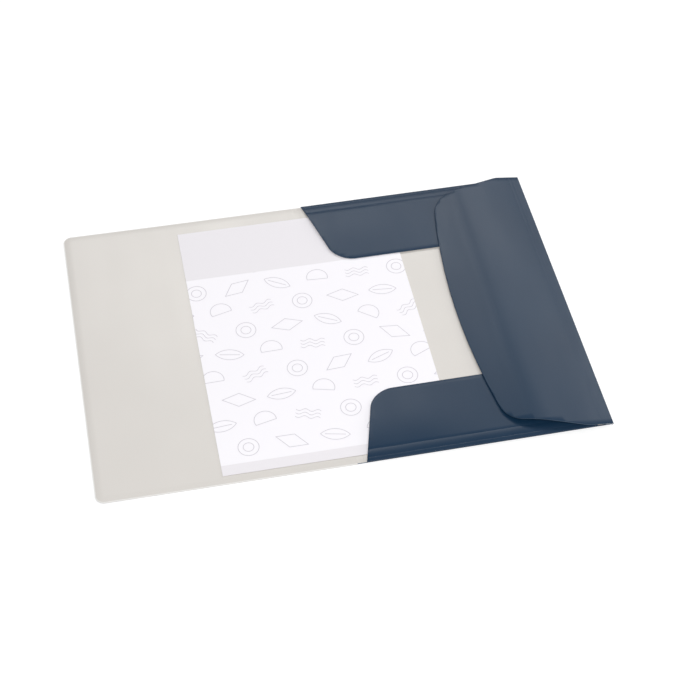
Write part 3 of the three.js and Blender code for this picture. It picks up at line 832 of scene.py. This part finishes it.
def makeSideFlap():
    s = sideFoil
    height, fold = folder["height"], folder["sideFold"]
    line = sideFlapLine()
    folds, length = foldsOf(line, s["lead"])
    # Flat distance of a place on the arch from the start of the bend
    marks = [(0.0, 0.0)]
    reach = 0.0
    for before, here in zip(line[1:], line[2:]):
        reach += (here - before).length
        if here.x < 0:
            marks.append((-here.x, reach))

    def flatAt(d):
        for (da, ra), (db, rb) in zip(marks, marks[1:]):
            if d <= db:
                return ra + (rb - ra) * (d - da) / (db - da)
        return marks[-1][1]

    cornerX = flatAt(s["cornerReach"])
    shoulderX = flatAt(s["shoulder"])
    inset = s["taper"] * (s["cornerReach"] - s["shoulder"])
    level = s["bendMiddle"] - s["bendOuter"]
    piece = addBlank("foilSideFlap", fold, fold + cornerX, 0, height, level)
    openForEditing(piece)
    slope = inset / (cornerX - shoulderX)
    cutAcross(piece, (fold + shoulderX, 0, 0), (slope, -1, 0), trim=True)
    cutAcross(piece, (fold + shoulderX, height, 0), (slope, 1, 0), trim=True)
    # Bow of the free edge
    bpy.ops.mesh.select_mode(type="EDGE")
    shape = bmesh.from_edit_mesh(piece.data)
    for side in shape.edges:
        side.select_set(all(point.co.x > fold + cornerX - hair for point in side.verts))
    bmesh.update_edit_mesh(piece.data)
    bpy.ops.mesh.subdivide(number_cuts=s["bowSteps"] - 1)
    bpy.ops.mesh.select_mode(type="VERT")
    halfChord = height / 2 - inset
    radius = (halfChord ** 2 + s["bow"] ** 2) / (2 * s["bow"])
    flatBow = length - cornerX
    shape = bmesh.from_edit_mesh(piece.data)
    for point in shape.verts:
        if point.co.x > fold + cornerX - hair:
            across = point.co.y - height / 2
            out = math.sqrt(radius ** 2 - across ** 2) - radius + s["bow"]
            point.co.x += out * flatBow / s["bow"]
    bmesh.update_edit_mesh(piece.data)
    taperAngle, bowAngle = math.atan(s["taper"]), math.asin(halfChord / radius)
    opening = math.pi - (math.pi / 2 - taperAngle - bowAngle)
    for y in (inset, height - inset):
        roundCorner(piece, fold + cornerX, y, s["corner"] / math.tan(opening / 2), s["cornerSteps"])
    shoulderReach = s["shoulderRadius"] / math.tan((math.pi - taperAngle) / 2)
    for y in (0, height):
        roundCorner(piece, fold + shoulderX, y, shoulderReach, s["shoulderSteps"])
    scoreAlongY(piece, [fold + distance for distance, _ in folds])
    scoreAlongX(piece, evenSteps(0, height, *s["rows"]))
    bpy.ops.mesh.select_all(action="SELECT")
    bpy.ops.mesh.flip_normals()
    foldUp(piece, folds, "x", 1, fold, level)
    closeEditing()
    thicken(piece, folder["foil"], (outside, inside, flapEdge))
    breakEdges(piece, folder["cutBevel"], 2,
               lambda co: abs(co.x - fold) < hair and co.z < s["bendMiddle"])
    settle(piece)
    smoothShade(piece)
    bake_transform(piece)
    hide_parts("side_flap")


makeSideFlap()
print("side flap folded and arched")

# The loose sheet, in two halves that meet in the middle of the spine
sheet = {
    "left": 110.8, "right": 320.8, "near": 8.8, "far": 305.8, "low": 1.0, "thickness": 0.14,
    "bendHalf": 4.0, "bendParts": 8, "columns": (12, 10), "rows": (14, 12),
}


def makeSheet():
    printed = paperMaterial()
    seam = folder["spineSeam"]
    halves = (
        ("sheetOnCover", sheet["left"], seam, "spine", "front_cover", folder["coverCrease"], False),
        ("sheetOnBack", seam, sheet["right"], "back", "spine", folder["backCrease"], True),
    )
    for name, x0, x1, first, second, crease, leans in halves:
        piece = addBlank(name, x0, x1, sheet["near"], sheet["far"], sheet["low"])
        openForEditing(piece)
        half, parts = sheet["bendHalf"], sheet["bendParts"]
        scoreAlongY(piece, [crease + half * part / parts for part in range(-parts, parts + 1)])
        scoreAlongY(piece, evenSteps(x0, x1, *sheet["columns"]))
        scoreAlongX(piece, evenSteps(sheet["near"], sheet["far"], *sheet["rows"]))
        closeEditing()
        thicken(piece, sheet["thickness"], (printed,), 1)
        settle(piece, leans)
        smoothShade(piece)
        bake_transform(piece)
        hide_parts("insert_sheet")


makeSheet()
print("sheet laid in")

# Elastic strap under the back panel, its ends turned up through the slits
strap = {
    "x": 439.0, "width": 6.0, "thickness": 0.7, "near": 11.65, "top": 2.62, "lead": 2.0,
    "bend": 0.75, "bendSteps": 6, "roundness": 0.22, "rows": (12, 6), "columns": (1, 1),
}


def makeStrap():
    low, high = strap["near"], folder["height"] - strap["near"]
    x0, x1 = strap["x"] - strap["width"] / 2, strap["x"] + strap["width"] / 2
    bend, steps = strap["bend"], strap["bendSteps"]
    line = [Vector((-strap["lead"], 0)), Vector((-bend, 0))]
    for i in range(1, steps + 1):
        angle = math.pi / 2 * i / steps
        line.append(Vector((-bend + bend * math.sin(angle), bend - bend * math.cos(angle))))
    line.append(Vector((0, strap["top"])))
    folds, length = foldsOf(line, strap["lead"])
    piece = addBlank("elasticStrap", x0, x1, low - length, high + length)
    openForEditing(piece)
    places = []
    for sense, start in ((-1, low), (1, high)):
        places += [start + sense * distance for distance, _ in folds]
    scoreAlongX(piece, sorted(places) + evenSteps(low, high, *strap["rows"]))
    scoreAlongY(piece, evenSteps(x0, x1, *strap["columns"]))
    bpy.ops.mesh.select_all(action="SELECT")
    bpy.ops.mesh.flip_normals()
    foldUp(piece, folds, "y", -1, low, 0.0)
    foldUp(piece, folds, "y", 1, high, 0.0)
    closeEditing()
    thicken(piece, strap["thickness"], (braidMaterial(),))
    breakEdges(piece, strap["roundness"], 3)
    settle(piece)
    smoothShade(piece, 40)
    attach(piece, "back")
    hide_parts("elastic_strap")


makeStrap()

# Clips on the ends of the strap
clip = {
    "length": 12.5, "width": 3.2, "thickness": 0.9, "corner": 1.2, "cornerSteps": 8,
    "low": 1.0, "slot": (6.6, 1.3), "roundness": 0.16,
}


def makeClips():
    plastic = clipMaterial()
    x = strap["x"]
    for name, node, y in (("clipNear", "elastic_clip_near", backFoil["slitInset"]),
                          ("clipFar", "elastic_clip_far", folder["height"] - backFoil["slitInset"])):
        x0, x1 = x - clip["length"] / 2, x + clip["length"] / 2
        y0, y1 = y - clip["width"] / 2, y + clip["width"] / 2
        piece = addBlank(name, x0, x1, y0, y1, clip["low"])
        openForEditing(piece)
        for cornerX in (x0, x1):
            for cornerY in (y0, y1):
                roundCorner(piece, cornerX, cornerY, clip["corner"], clip["cornerSteps"])
        halfX, halfY = clip["slot"][0] / 2, clip["slot"][1] / 2
        scoreAlongY(piece, (x - halfX, x + halfX))
        scoreAlongX(piece, (y - halfY, y + halfY))
        cutOut(piece, lambda co: abs(co.x - x) < halfX and abs(co.y - y) < halfY)
        closeEditing()
        thicken(piece, clip["thickness"], (plastic,), 1)
        breakEdges(piece, clip["roundness"], 3)
        settle(piece, True)
        smoothShade(piece, 40)
        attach(piece, "back")
        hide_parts(node)


makeClips()
print("elastic and clips fitted")

# Studio: a pale floor, three soft boxes behind the folder for the sheen, and two wide lamps, one in front
# and one low at the right, which light the foil without showing in it. The floor is lit as one tone and
# seen as another, so that it stays white to the eye. Each lamp has its place, aim, size and power.
studio = {
    "floorSize": 40.0, "floorLevel": -0.00005, "floorLit": "#f2f2f2", "floorSeen": 0.5, "floorGlow": 0.6,
    "world": 0.25,
    "lamps": {
        "softBoxLeft": ((0.054, 1.92, 1.8), (0.054, 1.92, 0), (0.27, 0.58), 15.3),
        "softBoxMiddle": ((1.0, 2.07, 1.8), (1.0, 2.07, 0), (0.54, 0.27), 15.4),
        "softBoxRight": ((1.53, 1.36, 1.8), (1.53, 1.36, 0), (0.27, 0.54), 12.8),
        "frontLamp": ((-0.2, -1.6, 2.0), (0, 0, 0), (1.2, 1.2), 42.5),
        "rightLamp": ((2.3, 0.2, 0.7), (0, 0, 0), (1.0, 1.0), 13.5),
    },
}


def makeStudio():
    bpy.ops.object.select_all(action="DESELECT")
    bpy.ops.mesh.primitive_plane_add(size=studio["floorSize"], location=(0, 0, studio["floorLevel"]))
    floor = bpy.context.object
    floor.name = "paleFloor"
    material, tree = newMaterial("paleStudioFloor")
    path = addNode(tree, "ShaderNodeLightPath")
    lit = addNode(tree, "ShaderNodeBsdfDiffuse", None, {"Color": linearColour(studio["floorLit"])})
    grey = studio["floorSeen"]
    softer = addNode(tree, "ShaderNodeBsdfDiffuse", None, {"Color": (grey, grey, grey, 1)})
    white = addNode(tree, "ShaderNodeEmission", None, {
        "Color": (1, 1, 1, 1), "Strength": studio["floorGlow"]})
    shown = addNode(tree, "ShaderNodeAddShader", None, {0: softer.outputs[0], 1: white.outputs[0]})
    seenA = addNode(tree, "ShaderNodeMath", {"operation": "MAXIMUM"}, {
        0: path.outputs["Is Camera Ray"], 1: path.outputs["Is Glossy Ray"]})
    seen = addNode(tree, "ShaderNodeMath", {"operation": "MAXIMUM"}, {
        0: seenA.outputs[0], 1: path.outputs["Is Transmission Ray"]})
    mixed = addNode(tree, "ShaderNodeMixShader", None, {
        0: seen.outputs[0], 1: lit.outputs[0], 2: shown.outputs[0]})
    closeMaterial(tree, mixed)
    floor.data.materials.append(material)
    for name, (place, aim, size, power) in studio["lamps"].items():
        bpy.ops.object.light_add(type="AREA", location=place)
        made = bpy.context.object
        made.name = name
        made.data.shape = "RECTANGLE"
        made.data.size, made.data.size_y = size
        made.data.energy = power
        made.rotation_euler = (Vector(aim) - Vector(place)).to_track_quat("-Z", "Y").to_euler()
    world = bpy.data.worlds.new("paleRoom")
    bpy.context.scene.world = world
    world.use_nodes = True
    world.node_tree.nodes.clear()
    sky = addNode(world.node_tree, "ShaderNodeBackground", None, {
        "Color": (1, 1, 1, 1), "Strength": studio["world"]})
    addNode(world.node_tree, "ShaderNodeOutputWorld", None, {"Surface": sky.outputs[0]})


makeStudio()
print("studio lit")
